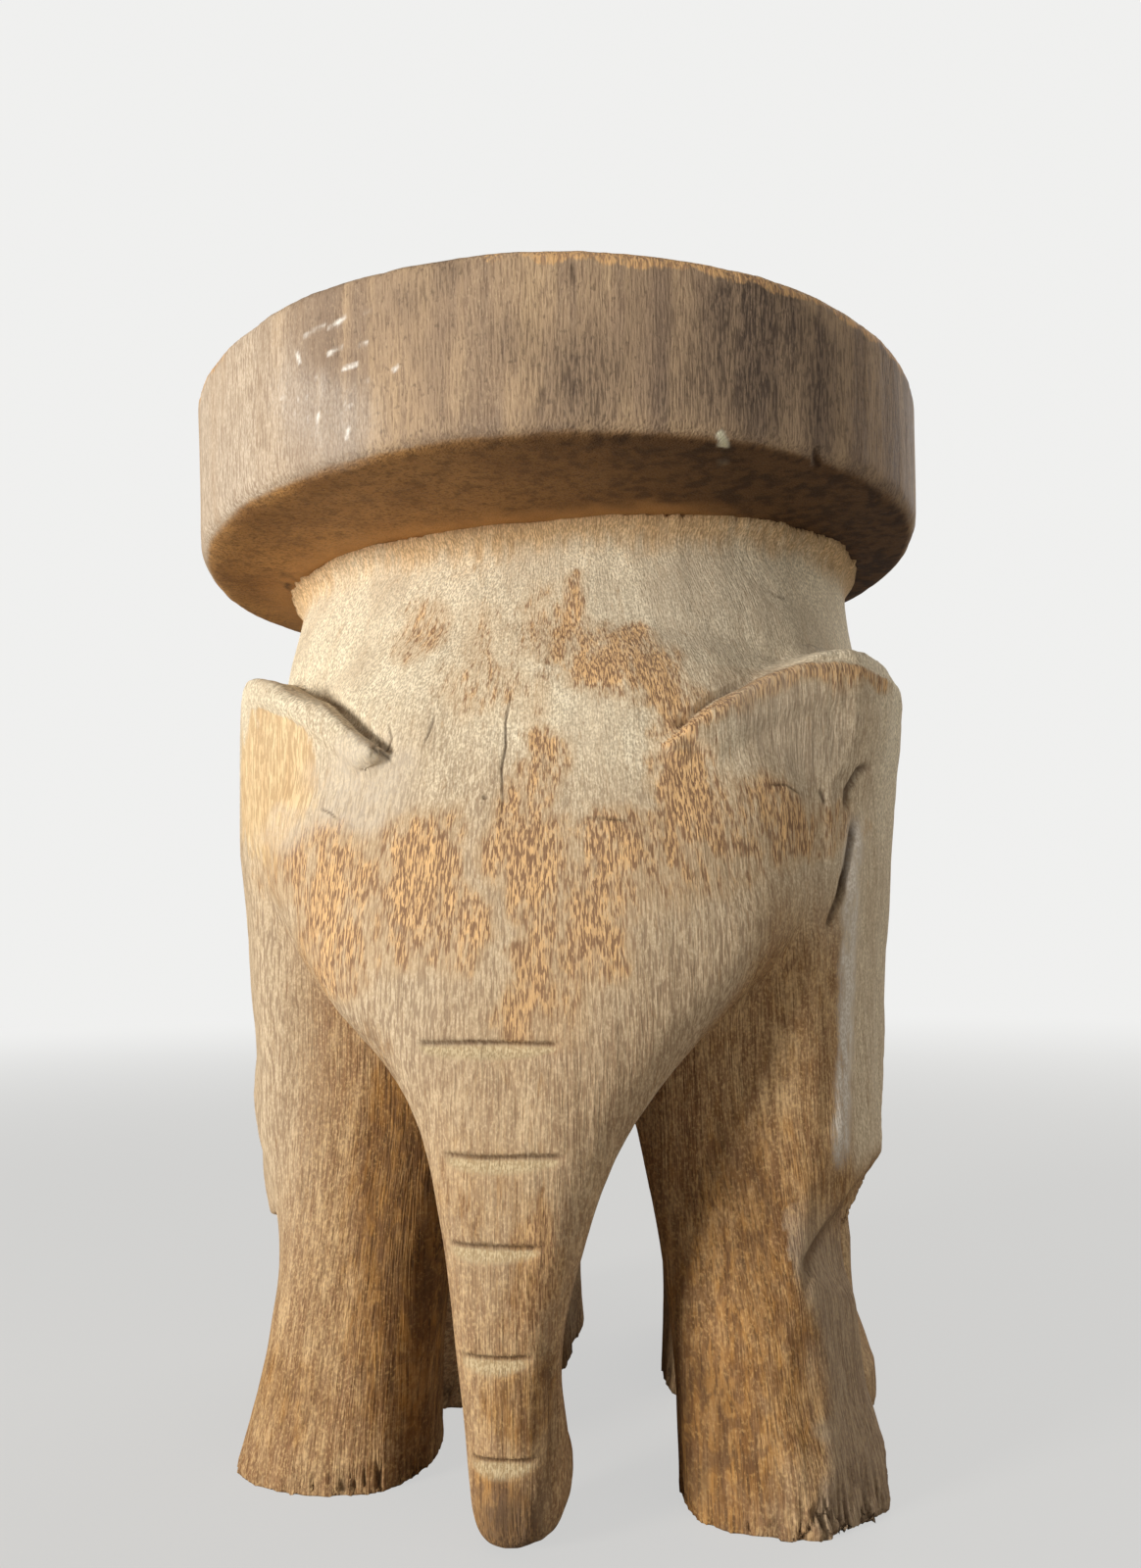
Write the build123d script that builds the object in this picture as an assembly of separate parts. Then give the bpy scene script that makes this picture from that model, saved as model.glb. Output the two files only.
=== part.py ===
from build123d import *
import math
import os

# Carved elephant stool: a round seat on a block carved as a standing elephant.
# The two are glued face to face over hidden wooden dowels.
# Millimetres.  Origin on the floor under the middle of the seat, +Z up.
# The elephant faces -Y.  "Left" below is the side at -X.

# ---- driving dimensions ---------------------------------------------------

stool_height = 307.0          # floor to the top of the seat
drawn_seat_line = 258.5       # carving levels below are drawn for a neck this high
overrun = 8.0                 # bodies run this far past a cut before it trims them

seat_radius = 117.5           # at the top of the rim
seat_rim_taper = 2.5          # the rim is this much smaller at its lower edge
seat_thickness = 48.5         # on the axis
seat_underside_tilt = 1.8     # degrees, the seat is thicker at -X
seat_top_round = 4.0          # worn upper edge of the rim
seat_lower_round = 5.0

dowel_radius = 6.0
dowel_length = 56.0
dowel_in_seat = 26.0
dowel_chamfer = 1.0
dowel_count = 3
dowel_circle = 48.0           # radius of the ring of dowels
dowel_ring_y = 22.0           # centre of that ring, under the middle of the neck
dowel_glue_gap = 0.15         # all round a dowel
dowel_end_gap = 0.8           # left for glue at each end of a dowel

log_lean = 2.5                # the log stands this far off the seat's axis
log_floor_radius = 97.0
log_waist_radius = 93.0       # above the flared feet
log_waist_height = 52.0
log_top_radius = 104.5

neck_front = -54.0            # where the forehead runs out under the seat
chest_front = -60.0           # the plain chest behind the trunk
rump_back = 99.0
body_squareness = 2.3
belly_height = 92.0           # floor to the roof of the space between the legs

ear_outward_angle = 50.0      # degrees from the front, where each ear faces
ear_front_sweep = 29.0        # degrees, the ears' front faces run back this much
ear_front_reach = -108.5      # those faces would meet the middle plane here
ear_thickness = 30.0          # from the log's surface to inside the body
ear_low = 60.0                # floor to the ears' lower tips
ear_high = 217.5              # floor to the top of the ears' lips

trunk_x = 1.0
trunk_tip_height = 1.5
curl_x = 3.5                  # middle of the curled tip, behind the trunk's front face
wrinkle_depth = 1.6
wrinkle_height = 3.6          # of each cut's open mouth

tail_x = 3.0
tail_top = 204.0
tail_low = 118.0
tail_width = 11.0
tail_relief = 6.0             # how far the tail stands off the rump

front_legs_x = 4.8            # middle plane of the front legs
front_leg_spread = 59.0       # from that plane to the middle of each foot
left_front_foot_y = -49.0
right_front_foot_y = -58.0
front_foot_width = 52.0
front_foot_depth = 52.0
front_leg_top = 168.0         # the front legs end here, behind the cheeks
front_leg_inset = 0.6         # their outer sides lie this far inside the ears'
front_foot_flare = 12.0       # the feet spread this far beyond the log at the floor

rear_legs_x = 12.0            # middle plane of the gap between the rear legs
rear_legs_gap = 30.0
rear_foot_front = -17.0
rear_leg_half = 50.0          # half the width of a rear leg before the block cuts it off
rear_leg_top = 112.0

# ---- sections and lofts ---------------------------------------------------


def oval(level, left, right, front, back, squareness=2.2, points=14):
    """One level section: a rounded outline that fills the given sides.

    Levels are drawn for drawn_seat_line and follow the real height of the neck.
    """
    z = level * seat_line / drawn_seat_line
    half_width = (right - left) / 2
    half_depth = (back - front) / 2
    outline = []
    for i in range(points):
        turn = 2 * math.pi * (i + 0.5) / points
        across = abs(math.cos(turn) / half_width) ** squareness
        along = abs(math.sin(turn) / half_depth) ** squareness
        reach = (across + along) ** (-1 / squareness)
        x = (left + right) / 2 + reach * math.cos(turn)
        y = (front + back) / 2 + reach * math.sin(turn)
        outline.append((x, y, z))
    return Face(Wire([Edge.make_spline(outline, periodic=True)]))


def carve(stations):
    """A smooth body through level sections, from the lowest to the highest."""
    return loft([oval(*station) for station in stations])


seat_line = stool_height - seat_thickness
seat_plane = Plane(origin=(0, 0, seat_line)).rotated((0, -seat_underside_tilt, 0))


def dowel_places():
    """Level positions of the dowels."""
    places = []
    for i in range(dowel_count):
        turn = math.radians(90 + 360 * i / dowel_count)
        x = dowel_circle * math.cos(turn)
        y = dowel_ring_y + dowel_circle * math.sin(turn)
        places.append((x, y))
    return places


def dowel_at(x, y, growth=0.0, end_growth=0.0):
    """A dowel across the glue line at (x, y), or its hole when it is grown."""
    line_height = seat_line + x * math.tan(math.radians(seat_underside_tilt))
    low = line_height + dowel_in_seat - dowel_length - end_growth
    rod = extrude(Pos(x, y, low) * Circle(dowel_radius + growth), dowel_length + 2 * end_growth)
    if growth == 0:
        rod = chamfer(rod.edges().filter_by(GeomType.CIRCLE), dowel_chamfer)
    return rod


def drill_for_dowels(solid):
    for x, y in dowel_places():
        solid -= dowel_at(x, y, dowel_glue_gap, dowel_end_gap)
    return solid


# ---- seat -----------------------------------------------------------------


def make_seat():
    drop = seat_radius * math.tan(math.radians(seat_underside_tilt))
    blank_height = seat_thickness + drop + overrun
    blank = Cone(seat_radius - seat_rim_taper, seat_radius, blank_height)
    blank = Pos(0, 0, stool_height - blank_height / 2) * blank
    seat = split(blank, bisect_by=seat_plane, keep=Keep.TOP)
    seat = fillet(seat.faces().sort_by(Axis.Z)[-1].edges(), seat_top_round)
    seat = fillet(seat.faces().sort_by(Axis.Z)[0].edges(), seat_lower_round)
    return drill_for_dowels(seat)


# ---- elephant -------------------------------------------------------------


def log_surface(inset=0.0, flare=0.0):
    """The outside of the log that the animal was cut from, or a skin inside it."""
    top = stool_height
    profile = [
        (log_floor_radius - inset + flare, 0, 0),
        (log_waist_radius - inset + flare / 2, 0, log_waist_height),
        (log_waist_radius + (log_top_radius - log_waist_radius) * 0.7 - inset, 0, top * 0.42),
        (log_top_radius - inset, 0, top * 0.66),
        (log_top_radius - inset, 0, top),
    ]
    side = Edge.make_spline(profile)
    rest = Polyline(side @ 1, (0, 0, top), (0, 0, 0), side @ 0)
    section = Face(Wire([side] + list(rest.edges())))
    return Pos(log_lean, 0, 0) * revolve(section, Axis.Z)


def make_block():
    """The log after its sides and front were cut down, from the floor to the seat."""
    above = drawn_seat_line + overrun
    return carve([
        (0, -91, 93, chest_front, rump_back - 6, body_squareness),
        (20, -87, 89, chest_front, rump_back - 11, body_squareness),
        (52, -84, 86, chest_front, rump_back - 14, body_squareness),
        (95, -88, 91, chest_front, rump_back - 8, body_squareness),
        (150, -92, 96, chest_front, rump_back - 2, body_squareness),
        (180, -94, 98, chest_front - 6, rump_back + 1, body_squareness),
        (210, -94, 98, neck_front - 16, rump_back + 2, body_squareness),
        (236, -92, 96, neck_front - 9, rump_back + 2, body_squareness),
        (above, -91, 95, neck_front, rump_back + 2, body_squareness),
    ])


def make_rear_leg(side):
    """A thick rear leg.  Its outer side is the block's, the rest is cut round."""
    near = rear_legs_x + side * rear_legs_gap / 2
    far = near + side * 2 * rear_leg_half
    stations = []
    for height, inward, forward in [
        (0, 0, 0),
        (14, -1, -4),
        (36, -1, -9),
        (62, 1, -9),
        (82, 5, -1),
        (98, 12, 12),
        (rear_leg_top, 16, 22),
    ]:
        inner = near - side * inward
        low_x = min(inner, far)
        high_x = max(inner, far)
        front = rear_foot_front - forward
        stations.append((height, low_x, high_x, front, rump_back + inward, 3))
    return carve(stations)


def make_body():
    """Neck, flanks, belly, rump and rear legs, before the head is added."""
    width = 4 * seat_radius
    waste = Pos(0, 0, belly_height / 2) * Box(width, width, belly_height)
    for side in (-1, 1):
        waste -= make_rear_leg(side)
    return make_block() - waste


def make_head():
    """Forehead, cheeks and trunk in one sweep down to the curled tip."""
    x = trunk_x
    tip = trunk_tip_height
    return carve([
        (tip, x - 6, x + 6, -97, -84),
        (tip + 3, x - 9, x + 10, -101, -76),
        (tip + 12, x - 11, x + 12, -103, -69, 2.5),
        (tip + 24, x - 12, x + 11, -103, -70, 2.5),
        (tip + 38, x - 13, x + 11, -104, -76, 2.5),
        (tip + 54, x - 15, x + 14, -105, -78, 2.5),
        (75, x - 18, x + 20, -106, -76, 2.5),
        (92, x - 23, x + 28, -106, -72),
        (108, x - 34, x + 40, -105, -62),
        (122, x - 50, x + 54, -103, -48),
        (135, x - 63, x + 67, -101, -30),
        (150, x - 75, x + 78, -98, -5),
        (168, x - 84, x + 85, -94, 15),
        (186, x - 86, x + 87, -88, 20),
        (200, x - 80, x + 82, -83, 20),
        (215, x - 74, x + 76, -75, 20),
        (232, x - 66, x + 68, -63, 20),
        (246, x - 58, x + 60, neck_front + 4, 20),
    ])


def make_curl():
    """The end of the trunk, curled back behind its front face."""
    return carve([
        (1, curl_x - 4, curl_x + 4, -90, -78),
        (4, curl_x - 8, curl_x + 8, -94, -71),
        (12, curl_x - 10, curl_x + 10, -95, -67),
        (21, curl_x - 9, curl_x + 8, -94, -69),
        (31, curl_x - 8, curl_x + 4, -92, -75),
    ])


def make_wrinkles():
    """Straight cuts across the front of the trunk, each steeper on its upper side."""
    cuts = []
    for height, left, right, face in [
        (22.5, -7, 8, -103),
        (45, -9, 7, -104),
        (69.5, -12, 10, -105.7),
        (89.5, -13, 15, -106),
        (115, -20, 14, -104),
    ]:
        lip = height * seat_line / drawn_seat_line
        with BuildSketch(Plane.YZ.offset(left)) as notch:
            with BuildLine():
                Polyline(
                    (face - overrun, lip),
                    (face + wrinkle_depth, lip - 0.2 * wrinkle_height),
                    (face, lip - wrinkle_height),
                    (face - overrun, lip - wrinkle_height),
                    close=True,
                )
            make_face()
        cuts.append(extrude(notch.sketch, right - left))
    return cuts


def make_tail():
    """A tail carved in low relief down the middle of the rump."""
    drop = tail_top - tail_low
    surface = rump_back + tail_relief - tail_width / 2
    path = Spline(
        (tail_x, surface, tail_top),
        (tail_x + 1, surface - 1, tail_top - 0.4 * drop),
        (tail_x + 5, surface - 4, tail_low),
    )
    rod = sweep(Plane(origin=path @ 0, z_dir=path % 0) * Circle(tail_width / 2), path)
    tuft = Pos(path @ 1) * scale(Sphere(tail_width / 2), by=(1.25, 1.0, 2.4))
    root = Pos(path @ 0) * scale(Sphere(tail_width / 2), by=(1.0, 1.0, 2.0))
    return rod + tuft + root


def make_ear(side):
    """One ear flap, raised on the log's own surface.  side is -1 at -X, 1 at +X."""
    outward = math.radians(ear_outward_angle)
    faces = Vector(side * math.sin(outward), -math.cos(outward), 0)
    backward = Vector(side * math.cos(outward), math.sin(outward), 0)
    flap_plane = Plane(origin=(log_lean, 0, 0), x_dir=backward, z_dir=faces * side)
    with BuildSketch() as outline:
        with BuildLine():
            rim = Spline(
                (-42, ear_high - 30.5), (-26, ear_high - 18.5), (-8, ear_high - 7.5),
                (16, ear_high), (40, ear_high - 3.5), (62, ear_high - 20.5),
                (69, ear_high - 52), (58, ear_low + 60), (38, ear_low + 24), (18, ear_low),
                tangents=[(0.8, 0.7), (-0.9, -0.5)],
            )
            Polyline(
                rim @ 1, (6, ear_low + 6), (9, ear_low + 60), (4, ear_high - 52), rim @ 0
            )
        make_face()
    flap = extrude(flap_plane * outline.sketch, side * (log_top_radius + overrun))
    sweep = math.radians(ear_front_sweep)
    front_cut = Plane(
        origin=(0, ear_front_reach, 0),
        x_dir=(side * math.cos(sweep), math.sin(sweep), 0),
        z_dir=(side * math.sin(sweep), -math.cos(sweep), 0),
    )
    shell = (flap & log_surface()) - log_surface(ear_thickness)
    return split(shell, bisect_by=front_cut, keep=Keep.BOTTOM)


def make_front_leg(side, foot_y):
    """A front leg from its flared foot up into the chest, no wider than the log."""
    foot_x = front_legs_x + side * front_leg_spread
    foot_front = foot_y - front_foot_depth / 2
    foot_back = foot_y + front_foot_depth / 2
    top_front = chest_front + 6
    stations = []
    for height, inward, outward, forward, slimmer in [
        (0, 0, 0, 0.0, 0),
        (12, 0, -3, 0.06, 3),
        (30, 1, -6, 0.16, 6),
        (52, 3, -8, 0.3, 7),
        (75, 7, -3, 0.46, 5),
        (100, 13, 10, 0.56, 0),
        (130, 18, 20, 0.58, -4),
        (front_leg_top, 22, 18, 0.6, -6),
    ]:
        inner = foot_x - side * (front_foot_width / 2 + inward)
        outer = foot_x + side * (front_foot_width / 2 + outward)
        front = foot_front + (top_front - foot_front) * forward
        low_x = min(inner, outer)
        high_x = max(inner, outer)
        stations.append((height, low_x, high_x, front, foot_back - slimmer, 2.5))
    return carve(stations) & log_surface(front_leg_inset, front_foot_flare)


def make_elephant():
    carved_on = [make_head(), make_curl(), make_tail()]
    for side, foot_y in [(-1, left_front_foot_y), (1, right_front_foot_y)]:
        carved_on.append(make_ear(side))
        carved_on.append(make_front_leg(side, foot_y))
    animal = make_body() + carved_on
    animal -= make_wrinkles()
    animal = split(animal, bisect_by=seat_plane, keep=Keep.BOTTOM)
    return drill_for_dowels(animal)


# ---- assembly -------------------------------------------------------------


def build():
    nodes = {"seat": make_seat(), "elephant": make_elephant()}
    for i, (x, y) in enumerate(dowel_places()):
        nodes[f"dowel_{i + 1}"] = dowel_at(x, y)
    os.makedirs("parts", exist_ok=True)
    for name, solid in nodes.items():
        export_step(solid, f"parts/{name}.step")


if __name__ == "__main__":
    build()
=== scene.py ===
# Looks for the carved elephant stool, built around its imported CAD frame.
# Metres.  +Z up, the elephant faces -Y.  "Left" is the side at -X.
# Places, reaches and sizes of noise are written in millimetres, except where * MM follows.

import math

import bmesh
import bpy
import numpy as np
from mathutils import Matrix, Vector
from mathutils.kdtree import KDTree


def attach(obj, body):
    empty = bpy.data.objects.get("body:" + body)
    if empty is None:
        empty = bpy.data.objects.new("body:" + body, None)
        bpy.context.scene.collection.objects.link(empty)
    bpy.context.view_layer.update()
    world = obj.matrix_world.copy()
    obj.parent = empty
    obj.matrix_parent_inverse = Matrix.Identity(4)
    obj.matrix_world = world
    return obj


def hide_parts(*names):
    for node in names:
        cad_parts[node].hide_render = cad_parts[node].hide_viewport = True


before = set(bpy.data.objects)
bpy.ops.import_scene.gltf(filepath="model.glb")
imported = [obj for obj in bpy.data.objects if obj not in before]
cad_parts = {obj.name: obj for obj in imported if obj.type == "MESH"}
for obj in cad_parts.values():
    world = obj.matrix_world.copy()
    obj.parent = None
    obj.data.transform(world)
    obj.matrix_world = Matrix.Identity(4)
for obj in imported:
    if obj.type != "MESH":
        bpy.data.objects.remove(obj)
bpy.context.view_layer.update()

MM = 0.001


def mm(*numbers):
    """Millimetres as an array of metres."""
    return np.array(numbers, dtype=float) * MM


# ---- camera ----
# It looks up at the forehead from the height of the chest, a little from the right.

CAMERA_AT = mm(56.6, -380.3, 138.4)
CAMERA_YAW = math.radians(8.0)
CAMERA_PITCH = math.radians(7.58)
CAMERA_ROLL = math.radians(-0.59)
CAMERA_LENS = 27.0
CAMERA_SENSOR = 36.0  # along the long side of the picture


def make_camera():
    camera = bpy.data.objects.new("camera", bpy.data.cameras.new("camera"))
    bpy.context.scene.collection.objects.link(camera)
    camera.data.sensor_fit = "VERTICAL"
    camera.data.sensor_height = CAMERA_SENSOR
    camera.data.lens = CAMERA_LENS
    camera.data.clip_start = 0.01
    camera.location = CAMERA_AT
    upright = Matrix.Rotation(math.radians(90) + CAMERA_PITCH, 4, "X")
    turned = Matrix.Rotation(CAMERA_YAW, 4, "Z") @ upright @ Matrix.Rotation(CAMERA_ROLL, 4, "Z")
    camera.rotation_euler = turned.to_euler()
    bpy.context.scene.camera = camera


# ---- numpy helpers ----


def ramp(low, high, value):
    """Goes smoothly from 0, where the value is low, to 1, where it is high."""
    t = np.clip((value - low) / (high - low), 0, 1)
    return t * t * (3 - 2 * t)


def fall(low, high, value):
    """Goes smoothly from 1, where the value is low, to 0, where it is high."""
    return 1 - ramp(low, high, value)


def noise(points, size, seed):
    """Smooth random values from -1 to 1 that change over size, one or three millimetres."""
    rng = np.random.default_rng(seed)
    order = rng.permutation(1024)
    level = rng.uniform(-1, 1, 1024)
    scaled = points / (np.asarray(size) * MM)
    cell = np.floor(scaled).astype(np.int64)
    part = scaled - cell
    ease = part * part * (3 - 2 * part)
    total = np.zeros(len(points))
    for corner in range(8):
        step = np.array([corner & 1, corner >> 1 & 1, corner >> 2 & 1])
        key = (cell + step) & 1023
        mixed = order[(order[(order[key[:, 0]] + key[:, 1]) & 1023] + key[:, 2]) & 1023]
        weight = np.where(step == 1, ease, 1 - ease).prod(axis=1)
        total += weight * level[mixed]
    return total


def blob(points, middle, reach):
    """1 in the middle of a soft spot, falling to 0 at its reach, one length or three."""
    away = np.linalg.norm((points - mm(*middle)) / (np.asarray(reach) * MM), axis=1)
    return fall(0.35, 1, away)


def strongest(points, spots, spread=1.0):
    """At each point the strongest of some soft spots: rows of middle, reach and strength."""
    best = np.zeros(len(points))
    for middle, reach, strength in spots:
        best = np.maximum(best, strength * blob(points, middle, np.multiply(reach, spread)))
    return best


def summed(points, spots):
    """The sum of some soft spots: rows of middle, reach and strength."""
    return sum(strength * blob(points, middle, reach) for middle, reach, strength in spots)


def warped(points, size, amount, seed):
    """The points shaken by noise, which makes the outlines of soft spots ragged."""
    shift = [noise(points, size, seed + axis) for axis in range(3)]
    return points + amount * MM * np.stack(shift, axis=1)


def line_on_front(points, line):
    """Distance in the XZ plane from a line of (x, z) points, signed to its left, and
    how far along it, 0 to 1, each point lies."""
    path = mm(*line).reshape(-1, 2)
    flat = points[:, [0, 2]]
    runs = np.linalg.norm(np.diff(path, axis=0), axis=1)
    starts = np.concatenate([[0], np.cumsum(runs)[:-1]])
    best = np.full(len(points), np.inf)
    side = np.ones(len(points))
    along = np.zeros(len(points))
    for a, b, run, start in zip(path[:-1], path[1:], runs, starts):
        t = np.clip((flat - a) @ (b - a) / run**2, 0, 1)
        offset = flat - (a + t[:, None] * (b - a))
        away = np.linalg.norm(offset, axis=1)
        nearer = away < best
        cross = (b - a)[0] * offset[:, 1] - (b - a)[1] * offset[:, 0]
        best = np.where(nearer, away, best)
        side = np.where(nearer, np.where(cross >= 0, 1.0, -1.0), side)
        along = np.where(nearer, (start + t * run) / runs.sum(), along)
    return best * side, along


def stroke(points, line, reach, ends=0.15):
    """1 along a line of (x, z) points, falling to 0 at its reach and at its ends."""
    away, along = line_on_front(points, line)
    fade = ramp(0, ends, along) * fall(1 - ends, 1, along)
    return fall(0, reach, np.abs(away) / MM) * fade


# ---- carved meshes ----


def remeshed(node, name, grain):
    """A new object with the node's shape in small even faces."""
    piece = bpy.data.objects.new(name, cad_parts[node].data.copy())
    bpy.context.scene.collection.objects.link(piece)
    remesh = piece.modifiers.new("even", "REMESH")
    remesh.mode = "VOXEL"
    remesh.voxel_size = grain
    depsgraph = bpy.context.evaluated_depsgraph_get()
    mesh = bpy.data.meshes.new_from_object(piece.evaluated_get(depsgraph))
    piece.modifiers.clear()
    piece.data = mesh
    mesh.name = name
    return piece


def refine(piece, wanted):
    """Splits the edges whose two ends are wanted, so that fine cuts can be carved there."""
    bm = bmesh.new()
    bm.from_mesh(piece.data)
    places = np.array([v.co[:] for v in bm.verts])
    chosen = wanted(places)
    edges = [e for e in bm.edges if chosen[e.verts[0].index] and chosen[e.verts[1].index]]
    bmesh.ops.subdivide_edges(bm, edges=edges, cuts=1, use_grid_fill=True)
    bm.to_mesh(piece.data)
    bm.free()


class Carving:
    """The points of a piece, moved as arrays and written back at the end."""

    def __init__(self, piece):
        self.piece = piece
        mesh = piece.data
        self.count = len(mesh.vertices)
        flat = np.empty(self.count * 3, dtype=np.float32)
        mesh.vertices.foreach_get("co", flat)
        self.points = flat.reshape(-1, 3).astype(float)
        pairs = np.empty(len(mesh.edges) * 2, dtype=np.int32)
        mesh.edges.foreach_get("vertices", pairs)
        self.pairs = pairs.reshape(-1, 2)
        self.degree = np.bincount(pairs, minlength=self.count)
        # painted shade in cuts, cracks, creases, splits and pits, and some dark dirt
        self.shade_and_dirt = np.zeros(self.count)
        self.chalk = np.zeros(self.count)
        self.update()

    def update(self):
        """Writes the points to the mesh and reads its normals."""
        mesh = self.piece.data
        mesh.vertices.foreach_set("co", self.points.astype(np.float32).ravel())
        mesh.update()
        flat = np.empty(self.count * 3, dtype=np.float32)
        mesh.vertex_normals.foreach_get("vector", flat)
        self.normals = flat.reshape(-1, 3).astype(float)

    def around(self, values):
        """For each point, the mean of the values at its neighbours."""
        a, b = self.pairs.T
        columns = values.reshape(self.count, -1).T
        sums = [
            np.bincount(a, c[b], self.count) + np.bincount(b, c[a], self.count) for c in columns
        ]
        return (np.array(sums) / self.degree).T.reshape(values.shape)

    def smooth(self, rounds, share=0.6):
        """Moves each point towards its neighbours; share may differ from point to point."""
        share = np.broadcast_to(share, self.count)[:, None]
        for _ in range(rounds):
            self.points += share * (self.around(self.points) - self.points)
        self.update()

    def darken(self, amount):
        """Keeps the painted shade and dirt where they are stronger than what is there."""
        self.shade_and_dirt = np.maximum(self.shade_and_dirt, amount)

    def push(self, amount):
        """Moves the points along their normals."""
        self.points += self.normals * np.asarray(amount)[:, None]

    def hollows(self, size):
        """How deep each point lies in a hollow a few faces wide, in faces of this size."""
        offset = self.around(self.points) - self.points
        for _ in range(3):
            offset = self.around(offset)
        return (offset * self.normals).sum(axis=1) / size

    def front(self, behind):
        """1 for points that face the front and lie before y = behind, in millimetres."""
        return (self.points[:, 1] < behind * MM) * ramp(0.0, 0.3, -self.normals[:, 1])

    def keep(self, name, values):
        """Stores a number for each point, for the materials to read."""
        layer = self.piece.data.attributes.new(name, "FLOAT", "POINT")
        layer.data.foreach_set("value", values.astype(np.float32))

    def finish(self):
        self.update()
        self.piece.data.shade_smooth()


# ---- the elephant ----

CARVING_GRAIN = 1.15 * MM  # face size of the carving before the fine cuts
NECK_LINE = 258.5 * MM  # height of the glue line on the axis
NECK_LINE_SLOPE = math.tan(math.radians(1.8))
NECK_FLARE = 7.0  # mm that the neck widens under the seat
NECK_FLARE_HEIGHT = 15.0
NECK_IN_SEAT = 2.5  # mm that its top is sunk into the seat
CUT_DEPTH = 1.1  # of the wrinkles across the trunk
STEP_DEPTH = 2.6  # of the step at the right front foot

TRUNK_CUTS = [  # height, left end, right end of each cut's upper edge
    (22.5, -7.5, 8.5),
    (45, -9.5, 7.5),
    (69.5, -12.5, 10.5),
    (89.5, -13.5, 15.5),
    (115, -20.5, 14.5),
]
LEFT_LIP = [(-86, 214.5), (-77, 214), (-67, 210.5), (-56, 205), (-42, 193.5), (-32, 186)]
RIGHT_LIP = [(97, 211), (86, 212.5), (74, 211), (63, 207), (52, 200.5), (42, 191)]
CHEEK_GROOVE = [(91, 186), (87, 179), (85.2, 161), (82, 146), (77, 136)]
FLANK_RIDGE = [(91, 172), (88.5, 161), (86, 140), (83.5, 114), (80, 80)]
FOOT_RIDGE = [(70, 60), (73, 36), (75, 3)]
FOOT_STEP = [(100, 84), (88, 76), (82, 69), (74, 63.5), (68, 56)]
STEP_CREASE = [(92, 79), (84, 72), (77, 65.5), (71.5, 59), (70, 48)]
TRUNK_CURL_CREASE = [(9.5, 50), (11.5, 38), (11.8, 26), (10.5, 15), (7, 5)]
CHISEL_CUTS = [  # behind the right cheek: line, width and depth
    ([(95, 186.5), (90.5, 183.5), (87, 178), (86.2, 171)], 1.5, 1.5),
    ([(89, 173), (87, 163), (84.5, 152), (82.5, 145)], 1.3, 1.6),
    ([(85.5, 158), (83.5, 150), (79, 139)], 1.2, 1.1),
]
FOREHEAD_CRACK = [
    (-1.6, 209), (-1.0, 202), (-1.9, 195), (-1.3, 188), (-2.1, 182), (-1.2, 174), (-1.3, 163),
]
SMALL_CRACKS = [  # line, width and depth
    ([(-21, 199), (-22, 194), (-23.5, 189)], 0.6, 0.25),
    ([(-34.5, 197), (-33, 192), (-35, 188.5), (-31, 184)], 0.6, 0.35),
    ([(-38, 193), (-36.5, 189), (-33, 185.5)], 0.6, 0.4),
    ([(19, 168.6), (25, 168.2), (32, 167.4)], 0.6, 0.3),
    ([(66, 239), (74, 236.5), (82, 229)], 0.6, 0.3),
    ([(64, 177.5), (70, 178), (75, 175)], 0.6, 0.25),
    ([(79, 178), (80.5, 173)], 1.1, 0.6),
    ([(-53, 174), (-49, 172.4), (-46, 170)], 0.6, 0.3),
    ([(-6.2, 175.4), (-5.4, 173.8)], 1.0, 0.6),
]


def neck_line(points):
    """Height of the glue line over each point."""
    return NECK_LINE + points[:, 0] * NECK_LINE_SLOPE


def below_neck_line(points):
    """How far each point lies below the glue line, in millimetres."""
    return (neck_line(points) - points[:, 2]) / MM


def wants_fine_faces(points):
    """Where the carving detail needs its faces split once."""
    x, y, z = (points / MM).T
    trunk = (np.abs(x) < 30) & (y < -88) & (z < 124)
    feet = (z < 22) & (z > 0.6)
    lips = (y < -40) & (z > 180) & (z < 218) & (np.abs(x) > 28)
    crease = (y < -45) & (z > 130) & (z < 190) & (x > 66)
    crack = (y < -60) & (z > 160) & (z < 212) & (np.abs(x + 1.5) < 6)
    chips = (y < -60) & (z > 165) & (z < 200) & (x > -42) & (x < -18)
    return trunk | feet | lips | crease | crack | chips


def wants_finest_faces(points):
    """The cracks in the head, which need their faces split twice."""
    near = np.zeros(len(points), dtype=bool)
    for line in [FOREHEAD_CRACK, *(row[0] for row in SMALL_CRACKS)]:
        away, _ = line_on_front(points, line)
        near |= np.abs(away) < 2 * MM
    return near & (points[:, 1] < -45 * MM)


CHEEK_SPOTS = [  # middle, reach and strength of what is rounded off
    ((-62, -68, 184), (30, 40, 17), 1),
    ((66, -70, 184), (30, 40, 17), 1),
    ((-80, -62, 165), (18, 30, 30), 1),
    ((84, -62, 150), (10, 30, 30), 0.6),
]
EDGE_SPOTS = [  # front legs, ear corners and the trunk's face
    ((-78, -60, 112), (26, 34, 48), 1),
    ((80, -60, 100), (16, 30, 40), 1),
    ((99, -46, 188), (14, 28, 40), 1),
    ((-93, -44, 200), (14, 26, 34), 0.8),
    ((0, -108, 70), (26, 14, 66), 1),
]


def blend_cheeks(carving):
    """Rounds off the worn wood, most of all where the cheeks run up into the ears."""
    neck = ramp(2, 6, below_neck_line(carving.points))
    floor = ramp(0.3 * MM, 1.5 * MM, carving.points[:, 2])
    carving.smooth(10, 0.6 * neck * floor)
    carving.smooth(70, 0.6 * np.clip(summed(carving.points, CHEEK_SPOTS), 0, 1))
    carving.smooth(40, 0.6 * np.clip(summed(carving.points, EDGE_SPOTS), 0, 1))


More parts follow.
